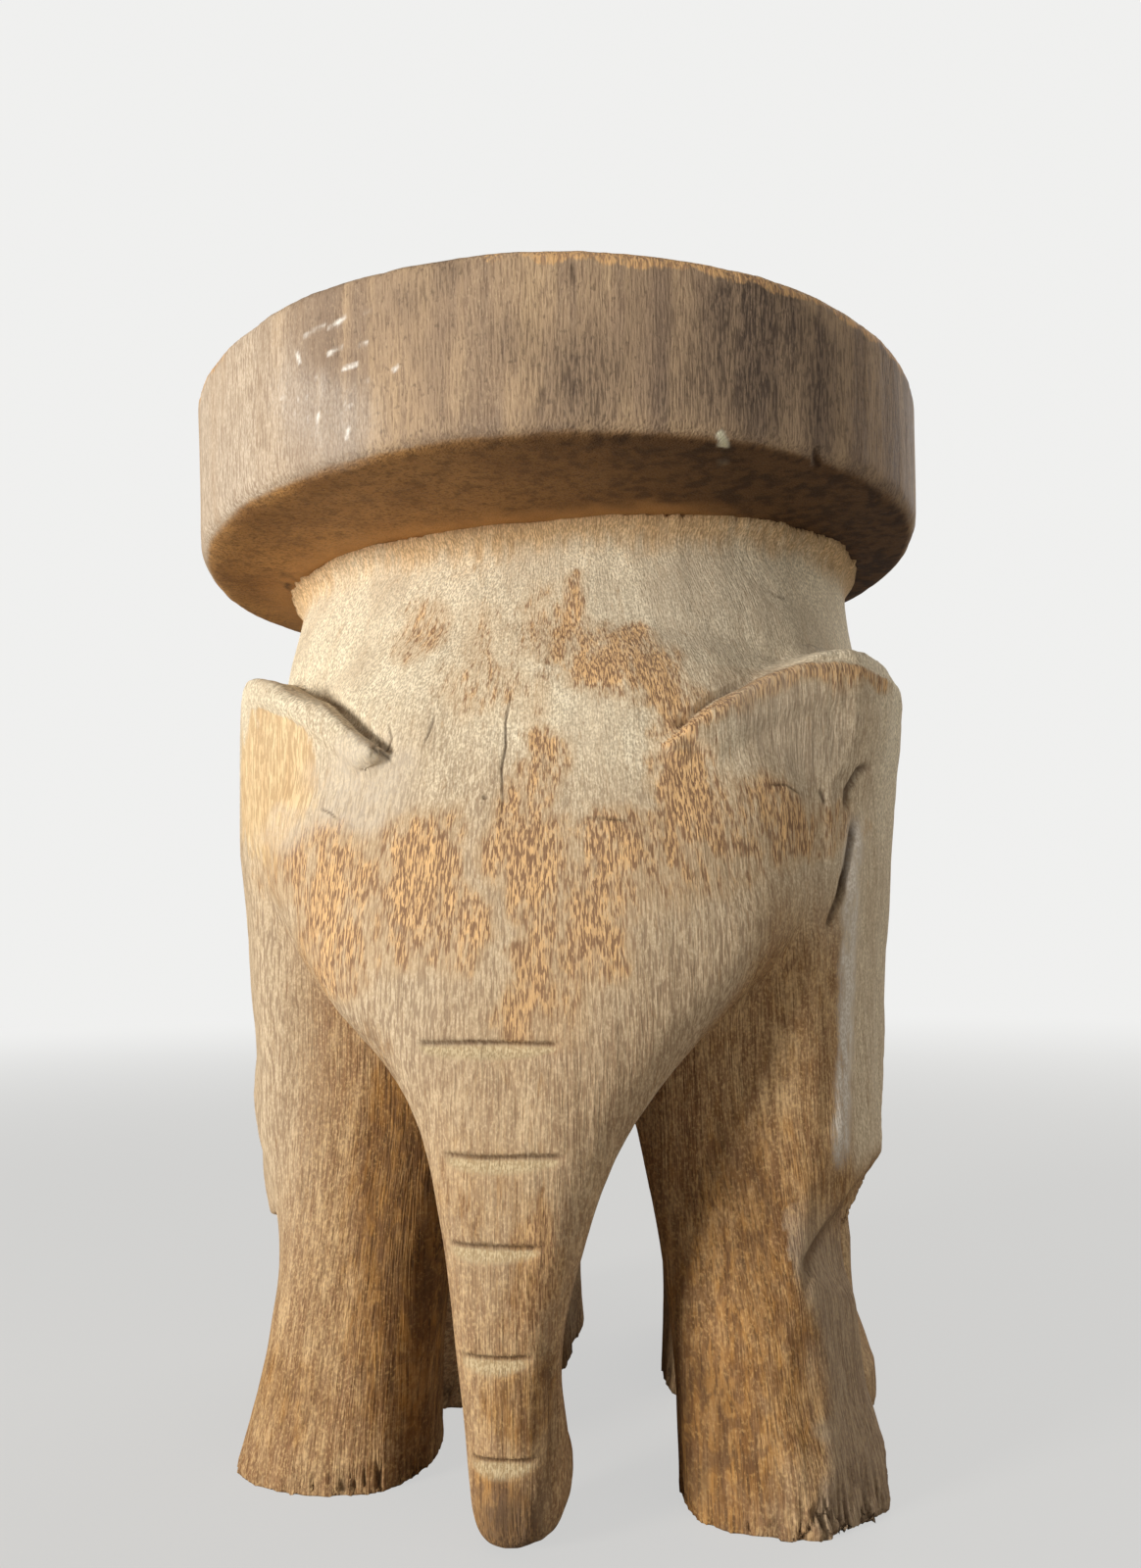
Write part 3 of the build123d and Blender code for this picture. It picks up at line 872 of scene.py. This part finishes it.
class Paint:
    """A material's nodes, with a short call for each kind used here."""

    def __init__(self, name):
        self.material = bpy.data.materials.new(name)
        self.material.use_nodes = True
        self.tree = self.material.node_tree
        self.shader = self.tree.nodes["Principled BSDF"]
        self.place = self.node("TexCoord").outputs["Object"]

    def put(self, socket, value):
        """Gives an input a value, or links it where the value is a socket."""
        if isinstance(value, bpy.types.NodeSocket):
            self.tree.links.new(value, socket)
        else:
            socket.default_value = value

    def set(self, **sockets):
        """Sets the shader's own inputs; underscores stand for spaces."""
        for key, value in sockets.items():
            self.put(self.shader.inputs[key.replace("_", " ")], value)

    def node(self, kind, inputs=(), **settings):
        made = self.tree.nodes.new("ShaderNode" + kind)
        for key, value in settings.items():
            setattr(made, key, value)
        for key, value in dict(inputs).items():
            self.put(made.inputs[key], value)
        return made

    def grain(self, width, length, detail=2.0, seed=0.0, distortion=0.0):
        """Noise drawn out along the wood's fibres: about 0 to 1, middle 0.5."""
        scale = (1 / (width * MM), 1 / (width * MM), 1 / (length * MM))
        shift = (seed * 3.1, seed * 7.7, seed * 1.3)
        inputs = {"Vector": self.place, "Location": shift, "Scale": scale}
        place = self.node("Mapping", inputs).outputs[0]
        inputs = {"Vector": place, "Scale": 1.0, "Detail": detail, "Distortion": distortion}
        return self.node("TexNoise", inputs).outputs["Fac"]

    def between(self, value, low, high, start=0.0, end=1.0):
        """Maps low..high to start..end, smoothly and held at both ends."""
        inputs = {"Value": value, "From Min": low, "From Max": high, "To Min": start, "To Max": end}
        made = self.node("MapRange", inputs, interpolation_type="SMOOTHSTEP")
        return made.outputs["Result"]

    def length(self, vector):
        return self.node("VectorMath", {0: vector}, operation="LENGTH").outputs["Value"]

    def stretch_slopes(self, radius, share):
        """Makes distances from the axis count for less than distances round it, so that
        dashes along the fibres stay long where the surface slopes."""
        split = self.node("SeparateXYZ", {0: self.place}).outputs
        flat = self.node("CombineXYZ", {0: split[0], 1: split[1]}).outputs[0]
        factor = self.add(self.math("DIVIDE", (1 - share) * radius, self.length(flat)), share)
        sides = {0: self.times(split[0], factor), 1: self.times(split[1], factor), 2: split[2]}
        self.place = self.node("CombineXYZ", sides).outputs[0]

    def math(self, operation, a, b=0.0):
        return self.node("Math", {0: a, 1: b}, operation=operation).outputs[0]

    def add(self, *values):
        total = values[0]
        for value in values[1:]:
            total = self.math("ADD", total, value)
        return total

    def times(self, *values):
        total = values[0]
        for value in values[1:]:
            total = self.math("MULTIPLY", total, value)
        return total

    def mix(self, share, first, second):
        """A colour between two, each an (r, g, b) or a socket."""
        made = self.node("Mix", {0: share}, data_type="RGBA")
        for socket, colour in ((made.inputs[6], first), (made.inputs[7], second)):
            self.put(socket, (*colour, 1) if isinstance(colour, tuple) else colour)
        return made.outputs[2]

    def blend(self, texture, low, high, first, second):
        """Goes from one colour to another as the texture goes from low to high."""
        return self.mix(self.between(texture, low, high), first, second)

    def over(self, first, texture, low, high, share, second):
        """Lays a second colour over the first as the texture goes from low to high."""
        return self.mix(self.between(texture, low, high, 0, share), first, second)

    def swing(self, texture, amount):
        """A texture that varies about 0, to make the edge of a region ragged."""
        return self.times(self.math("SUBTRACT", texture, 0.5), amount)

    def read(self, name, share=1):
        """The numbers kept on the mesh under a name, times share."""
        numbers = self.node("Attribute", attribute_name=name).outputs["Fac"]
        return numbers if share == 1 else self.times(numbers, share)

    def bump(self, height, distance):
        inputs = {"Height": height, "Distance": distance, "Strength": 1.0}
        self.set(Normal=self.node("Bump", inputs).outputs[0])


def paint_elephant_wood():
    paint = Paint("elephant_wood")
    paint.stretch_slopes(95 * MM, 0.4)
    pores = paint.grain(0.55, 4.5, 2.0, 1)
    fine = paint.grain(0.5, 0.9, 2.0, 2)
    fibres = paint.grain(0.42, 16, 3.0, 6)
    streaks = paint.grain(2.0, 34, 3.0, 3)
    clouds = paint.grain(16, 24, 2.0, 4)
    ragged = paint.grain(2.2, 7, 4.0, 5)
    rubbed = paint.read("rubbed")
    handled = paint.read("handled")

    patina = paint.blend(fine, 0.38, 0.62, (0.56, 0.475, 0.335), (0.98, 0.86, 0.635))
    specks = paint.grain(0.75, 1.1, 3.0, 8)
    patina = paint.over(patina, specks, 0.55, 0.68, 0.45, (0.40, 0.31, 0.21))
    patina = paint.over(patina, clouds, 0.42, 0.68, 0.40, (0.55, 0.43, 0.29))
    patina = paint.over(patina, streaks, 0.45, 0.75, 0.30, (0.60, 0.45, 0.28))
    worn = paint.blend(streaks, 0.35, 0.65, (0.60, 0.45, 0.285), (0.48, 0.345, 0.21))
    worn = paint.over(worn, fine, 0.45, 0.65, 0.5, (0.70, 0.555, 0.38))
    patina = paint.mix(paint.times(handled, 0.85), patina, worn)
    more = paint.add(paint.times(handled, 0.60), 0.14)
    dashes = paint.times(paint.between(pores, 0.48, 0.57), more)
    patina = paint.mix(dashes, patina, (0.30, 0.205, 0.13))
    patina = paint.over(patina, rubbed, 0.0, 0.5, 0.40, (0.60, 0.41, 0.225))
    # The orange-brown band at the top of the neck: torn wood at the joint, and painted shade under
    # the seat.
    joint_and_shade = paint.blend(fine, 0.40, 0.60, (0.54, 0.33, 0.145), (0.84, 0.55, 0.27))
    joint_and_shade = paint.over(joint_and_shade, pores, 0.50, 0.60, 0.6, (0.34, 0.19, 0.08))
    patina = paint.mix(paint.read("joint_and_shade", 0.8), patina, joint_and_shade)

    dash = paint.grain(0.42, 3.4, 2.0, 7)
    bare = paint.blend(streaks, 0.35, 0.65, (0.82, 0.51, 0.235), (0.67, 0.415, 0.20))
    bare = paint.over(bare, dash, 0.46, 0.55, 0.94, (0.235, 0.128, 0.07))
    edge = paint.add(rubbed, paint.swing(ragged, 1.9), paint.swing(dash, 1.6))
    colour = paint.over(patina, edge, 0.24, 1.0, 0.95, bare)
    ear = paint.blend(streaks, 0.35, 0.65, (0.80, 0.60, 0.33), (0.70, 0.48, 0.25))
    ear = paint.over(ear, pores, 0.45, 0.54, 0.8, (0.50, 0.32, 0.16))
    on_ear = paint.add(paint.read("ear_face"), paint.swing(ragged, 1.6))
    colour = paint.over(colour, on_ear, 0.2, 0.7, 0.85, ear)

    golden = paint.blend(streaks, 0.32, 0.66, (0.60, 0.395, 0.20), (0.37, 0.215, 0.10))
    golden = paint.over(golden, ragged, 0.48, 0.66, 0.55, (0.30, 0.155, 0.062))
    golden = paint.over(golden, clouds, 0.45, 0.66, 0.55, (0.30, 0.145, 0.058))
    mottle = paint.grain(3.2, 8, 4.0, 9, 1.2)
    golden = paint.over(golden, mottle, 0.50, 0.62, 0.5, (0.27, 0.13, 0.06))
    golden = paint.over(golden, mottle, 0.46, 0.36, 0.4, (0.72, 0.49, 0.26))
    golden = paint.over(golden, fibres, 0.50, 0.66, 0.60, (0.19, 0.10, 0.042))
    golden = paint.over(golden, fibres, 0.46, 0.34, 0.30, (0.72, 0.50, 0.26))
    golden = paint.over(golden, dash, 0.50, 0.60, 0.45, (0.18, 0.092, 0.038))
    golden = paint.over(golden, fine, 0.52, 0.64, 0.40, (0.80, 0.54, 0.25))
    golden = paint.over(golden, fine, 0.46, 0.36, 0.35, (0.16, 0.082, 0.034))
    colour = paint.mix(paint.read("legs", 0.95), colour, golden)

    # Dark reddish-brown stain, which on the legs beside the trunk and under the cheek is painted
    # shade.
    stain_and_shade = paint.blend(streaks, 0.35, 0.65, (0.43, 0.205, 0.05), (0.20, 0.088, 0.024))
    stain_and_shade = paint.over(stain_and_shade, fibres, 0.50, 0.62, 0.7, (0.07, 0.033, 0.013))
    stain_and_shade = paint.over(stain_and_shade, fine, 0.52, 0.66, 0.45, (0.58, 0.33, 0.11))
    stain_and_shade = paint.over(stain_and_shade, mottle, 0.48, 0.60, 0.6, (0.13, 0.058, 0.022))
    stained = paint.add(paint.read("stain_and_shade"), paint.swing(ragged, 0.9))
    colour = paint.over(colour, stained, 0.05, 1.05, 0.9, stain_and_shade)

    # Grey-brown grime, which on the right of the forehead is painted shade.
    grime_and_shade = paint.blend(fibres, 0.40, 0.66, (0.40, 0.325, 0.24), (0.24, 0.185, 0.135))
    colour = paint.mix(paint.read("grime_and_shade", 0.7), colour, grime_and_shade)
    chalk = paint.blend(fine, 0.4, 0.6, (0.80, 0.73, 0.63), (0.60, 0.52, 0.42))
    dusty = paint.times(paint.read("dust"), paint.between(ragged, 0.30, 0.58, 0.35, 0.9))
    colour = paint.mix(dusty, colour, chalk)
    fresh = paint.blend(fine, 0.42, 0.58, (0.66, 0.53, 0.32), (0.42, 0.31, 0.17))
    colour = paint.mix(paint.read("fresh"), colour, fresh)
    # darker in hollows, as dirt and painted shade
    colour = paint.over(colour, paint.read("hollow_dirt_and_shade"), 0.015, 0.12, 0.75, (0.16, 0.09, 0.045))
    # painted shade in cuts, cracks, creases and splits, and dark dirt
    colour = paint.mix(paint.read("shade_and_dirt"), colour, (0.055, 0.03, 0.016))
    paint.set(Base_Color=colour, Roughness=paint.between(fine, 0.2, 0.8, 0.68, 0.86))
    paint.set(Specular_IOR_Level=0.16)
    along = paint.times(fibres, paint.add(paint.read("legs", -0.9), -0.15))
    relief = paint.add(paint.times(fine, 0.08), paint.times(pores, -0.55))
    relief = paint.add(relief, paint.times(streaks, 0.5), along)
    paint.bump(relief, 0.4 * MM)
    return paint.material


def paint_seat_wood():
    paint = Paint("seat_wood")
    pores = paint.grain(0.6, 5.5, 2.0, 11)
    fine = paint.grain(0.5, 1.2, 2.0, 12)
    streaks = paint.grain(2.4, 60, 3.0, 13)
    clouds = paint.grain(20, 40, 3.0, 14)
    ragged = paint.grain(4, 9, 4.0, 15)
    bands = paint.grain(8, 150, 3.0, 16)
    pits = paint.grain(1.1, 1.8, 2.0, 17)

    wax = paint.blend(bands, 0.40, 0.60, (0.485, 0.335, 0.20), (0.265, 0.185, 0.125))
    wax = paint.over(wax, streaks, 0.36, 0.66, 0.5, (0.38, 0.26, 0.165))
    wax = paint.over(wax, pores, 0.50, 0.62, 0.48, (0.19, 0.12, 0.075))
    wax = paint.over(wax, fine, 0.50, 0.72, 0.40, (0.60, 0.44, 0.28))
    wax = paint.over(wax, clouds, 0.46, 0.68, 0.50, (0.25, 0.17, 0.115))
    wax = paint.over(wax, pits, 0.58, 0.74, 0.5, (0.12, 0.078, 0.05))
    # The paler left of the rim is a painted highlight.
    pale = paint.blend(fine, 0.35, 0.65, (0.50, 0.395, 0.285), (0.70, 0.585, 0.455))
    pale = paint.over(pale, pores, 0.48, 0.60, 0.65, (0.31, 0.22, 0.15))
    pale = paint.over(pale, bands, 0.42, 0.66, 0.55, (0.50, 0.35, 0.22))
    colour = paint.mix(paint.read("pale", 0.85), wax, pale)
    # Soot on the rim, which on its right also stands for painted shade.
    soot_and_shade = paint.blend(pores, 0.46, 0.56, (0.22, 0.15, 0.10), (0.075, 0.05, 0.036))
    soot_and_shade = paint.over(soot_and_shade, pits, 0.52, 0.64, 0.6, (0.05, 0.034, 0.026))
    darker = paint.times(paint.read("dark"), paint.between(bands, 0.30, 0.58, 0.58, 1.0))
    colour = paint.mix(paint.times(darker, 0.92), colour, soot_and_shade)
    worn = paint.add(paint.read("worn"), paint.swing(ragged, 1.6), paint.swing(fine, 1.2))
    bare = paint.blend(pores, 0.48, 0.58, (0.70, 0.42, 0.19), (0.40, 0.235, 0.125))
    colour = paint.over(colour, worn, 0.45, 1.0, 0.9, bare)

    below = paint.blend(clouds, 0.35, 0.7, (0.54, 0.285, 0.10), (0.38, 0.19, 0.066))
    below = paint.over(below, pits, 0.48, 0.66, 0.55, (0.16, 0.08, 0.034))
    below = paint.over(below, ragged, 0.48, 0.66, 0.50, (0.20, 0.10, 0.04))
    # dull dark brown on the underside, as painted shade towards the right and the outer edge
    dull = paint.blend(ragged, 0.40, 0.62, (0.125, 0.066, 0.03), (0.05, 0.026, 0.015))
    below = paint.mix(paint.read("dark", 0.94), below, dull)
    # painted light bounced from the lit neck onto the underside's left
    below = paint.mix(paint.read("neck_bounce_light", 0.7), below, (0.56, 0.30, 0.115))
    colour = paint.mix(paint.read("under"), colour, below)
    colour = paint.mix(paint.read("top"), colour, paint_end_grain(paint, pores, clouds))

    chalk = paint.times(paint.read("dust"), paint.between(fine, 0.35, 0.6, 0.55, 1.0))
    colour = paint.mix(chalk, colour, (0.84, 0.78, 0.70))
    colour = paint.mix(paint.read("fleck"), colour, (0.78, 0.74, 0.52))
    # darker in hollows, as dirt and painted shade
    colour = paint.over(colour, paint.read("hollow_dirt_and_shade"), 0.02, 0.14, 0.6, (0.12, 0.07, 0.04))
    # painted shade in the checks and pits
    colour = paint.mix(paint.read("shade_and_dirt"), colour, (0.05, 0.03, 0.02))
    paint.set(Base_Color=colour, Roughness=paint.between(fine, 0.2, 0.8, 0.5, 0.72))
    paint.set(Specular_IOR_Level=0.2)
    relief = paint.add(paint.times(fine, 0.3), paint.times(pores, -0.8), paint.times(streaks, 0.4))
    paint.bump(relief, 0.4 * MM)
    return paint.material


HEART_SHIFT = (0.021, -0.013, 0)  # from the heart of the growth rings to the axis
RING_WIDTH = 3.4 * MM


def paint_end_grain(paint, pores, clouds):
    """Growth rings round a heart a little off the middle of the seat, worn and stained."""
    inputs = {"Vector": paint.place, "Location": HEART_SHIFT, "Scale": (1, 1, 0)}
    away = paint.length(paint.node("Mapping", inputs).outputs[0])
    wavy = paint.add(away, paint.times(clouds, 10 * MM), paint.times(pores, 1 * MM))
    rings = paint.math("SINE", paint.times(wavy, 2 * math.pi / RING_WIDTH))
    colour = paint.over((0.44, 0.31, 0.195), rings, -1, 1, 0.55, (0.31, 0.21, 0.135))
    colour = paint.over(colour, pores, 0.50, 0.60, 0.6, (0.15, 0.10, 0.065))
    dull = paint.grain(7, 60, 4.0, 18)
    colour = paint.over(colour, dull, 0.48, 0.66, 0.5, (0.20, 0.14, 0.10))
    return paint.over(colour, clouds, 0.45, 0.7, 0.5, (0.24, 0.17, 0.12))


def paint_dowel_wood():
    paint = Paint("dowel_wood")
    lines = paint.grain(0.8, 30, 3.0, 21)
    colour = paint.blend(lines, 0.35, 0.65, (0.74, 0.60, 0.40), (0.56, 0.42, 0.26))
    paint.set(Base_Color=colour, Roughness=0.6)
    return paint.material


# ---- stage ----

BACKDROP = (0.87, 0.87, 0.86, 1)  # what the camera sees beyond the floor
FLOOR = (0.36, 0.35, 0.33, 1)  # what the floor gives back to the lamps
FLOOR_RADIUS = 6.0
FLOOR_CORNERS = 96
FADE_FROM, FADE_TO = 0.35, 1.9  # distances between which the floor turns to backdrop
FADE_NEAR = 0.66  # the backdrop's share in the floor round the stool
AMBIENT = (1.0, 0.975, 0.94, 1)
AMBIENT_STRENGTH = 0.20
LAMPS_AIM = (0, 0, 0.15)
LAMPS = [  # name, place, size, power and colour
    ("key", (-1.10, -1.10, 0.30), 0.36, 26, (1.0, 0.98, 0.945)),
    ("fill", (1.3, -0.9, 0.5), 1.2, 6.4, (1.0, 0.95, 0.88)),
    ("back", (0.7, 1.3, 1.1), 1.2, 11, (1.0, 0.98, 0.96)),
]


def paint_floor():
    """Paper that keeps the shadow near the stool and fades into the backdrop."""
    paint = Paint("studio_floor")
    paint.set(Base_Color=FLOOR, Roughness=0.9, Specular_IOR_Level=0.1)
    glow = paint.node("Emission", {"Color": BACKDROP})
    fade = paint.between(paint.length(paint.place), FADE_FROM, FADE_TO, FADE_NEAR, 1.0)
    seen = paint.times(fade, paint.node("LightPath").outputs["Is Camera Ray"])
    parts = {0: seen, 1: paint.shader.outputs[0], 2: glow.outputs[0]}
    mixed = paint.node("MixShader", parts)
    paint.put(paint.tree.nodes["Material Output"].inputs["Surface"], mixed.outputs[0])
    return paint.material


def make_floor():
    turns = [2 * math.pi * i / FLOOR_CORNERS for i in range(FLOOR_CORNERS)]
    rim = [(FLOOR_RADIUS * math.cos(turn), FLOOR_RADIUS * math.sin(turn), 0) for turn in turns]
    mesh = bpy.data.meshes.new("studio_floor")
    mesh.from_pydata(rim, [], [list(range(FLOOR_CORNERS))])
    mesh.materials.append(paint_floor())
    floor = bpy.data.objects.new("studio_floor", mesh)
    bpy.context.scene.collection.objects.link(floor)


def make_lamp(name, place, size, power, colour):
    data = bpy.data.lights.new(name, "AREA")
    data.energy = power
    data.size = size
    data.color = colour
    lamp = bpy.data.objects.new(name, data)
    bpy.context.scene.collection.objects.link(lamp)
    lamp.location = place
    lamp.rotation_euler = (Vector(LAMPS_AIM) - Vector(place)).to_track_quat("-Z", "Y").to_euler()


def make_world():
    """Soft light from all round, with a plain pale backdrop behind it."""
    world = bpy.data.worlds.new("studio")
    bpy.context.scene.world = world
    world.use_nodes = True
    nodes = world.node_tree.nodes
    links = world.node_tree.links
    around = nodes["Background"]
    around.inputs["Color"].default_value = AMBIENT
    around.inputs["Strength"].default_value = AMBIENT_STRENGTH
    backdrop = nodes.new("ShaderNodeBackground")
    backdrop.inputs["Color"].default_value = BACKDROP
    mixed = nodes.new("ShaderNodeMixShader")
    path = nodes.new("ShaderNodeLightPath")
    links.new(path.outputs["Is Camera Ray"], mixed.inputs[0])
    links.new(around.outputs[0], mixed.inputs[1])
    links.new(backdrop.outputs[0], mixed.inputs[2])
    links.new(mixed.outputs[0], nodes["World Output"].inputs["Surface"])


def dress(piece, material):
    """Gives a piece one material in place of the ones it came with."""
    piece.data.materials.clear()
    piece.data.materials.append(material)


# ---- all together ----

make_camera()
elephant = make_elephant()
seat = make_seat(elephant)
dress(elephant, paint_elephant_wood())
dress(seat, paint_seat_wood())
dowel_wood = paint_dowel_wood()
for number in (1, 2, 3):
    dress(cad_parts[f"dowel_{number}"], dowel_wood)
make_floor()
for lamp in LAMPS:
    make_lamp(*lamp)
make_world()
bpy.context.scene.view_settings.view_transform = "Standard"
